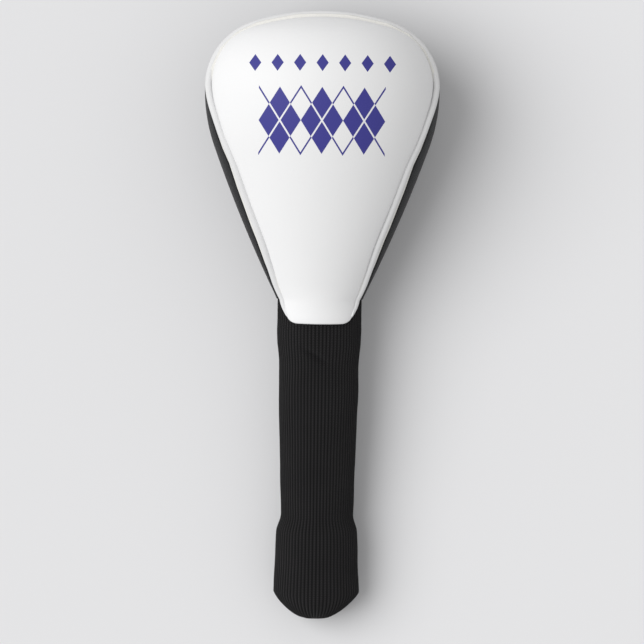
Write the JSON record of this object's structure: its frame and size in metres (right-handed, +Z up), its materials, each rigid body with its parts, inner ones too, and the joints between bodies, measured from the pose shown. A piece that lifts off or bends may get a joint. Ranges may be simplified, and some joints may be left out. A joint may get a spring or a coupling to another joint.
{
  "type": "driver head cover",
  "caption": "Padded teardrop head cover for a golf driver: white front panel with piping, black woven back, long black rib-knit sock with a doubled, gathered cuff.",
  "frame": {"origin": "on the ground under the middle of the cover lying on its back", "axes": "+Y towards the crown of the padded head, +Z up, out of the front panel, +X to the right seen from above"},
  "size_m": [0.1332, 0.3434, 0.0978],
  "materials": {
    "white_coated_leather": "satin",
    "black_woven_mesh": "fine mesh with a soft sheen",
    "padding_foam": "matte",
    "brushed_lining": "brushed",
    "seam_tape": "woven",
    "black_rib_knit": "ribbed, matte",
    "elastic": "matte",
    "filler_cord": "matte"
  },
  "bodies": {
    "head": {"front_panel": "white_coated_leather", "piping_cover": "white_coated_leather", "back_panel_left": "black_woven_mesh", "back_panel_right": "black_woven_mesh", "front_padding": "padding_foam", "back_padding_left": "padding_foam", "back_padding_right": "padding_foam", "front_lining": "brushed_lining", "back_lining_left": "brushed_lining", "back_lining_right": "brushed_lining", "back_seam_tape": "seam_tape", "side_seam_tape": "seam_tape", "neck_band": "seam_tape", "neck_elastic": "elastic", "piping_cord": "filler_cord", "sock_neck": "black_rib_knit"},
    "sock": {"sock_tube": "black_rib_knit"},
    "cuff": {"cuff_outer": "black_rib_knit", "cuff_inner": "black_rib_knit", "mouth_elastic": "elastic"}
  },
  "joints": [
    {"name": "neck_swing", "type": "hinge", "parent": "head", "child": "sock", "pos_m": [0, -0.0149, 0.0326], "axis": [0, 0, 1], "range_deg": [-60, 60], "deforming": ["sock_neck"]},
    {"name": "cuff_gather", "type": "slide", "parent": "sock", "child": "cuff", "axis": [0, 0.9933, 0.1155], "range_m": [0, 0.036], "deforming": ["sock_tube"]}
  ]
}
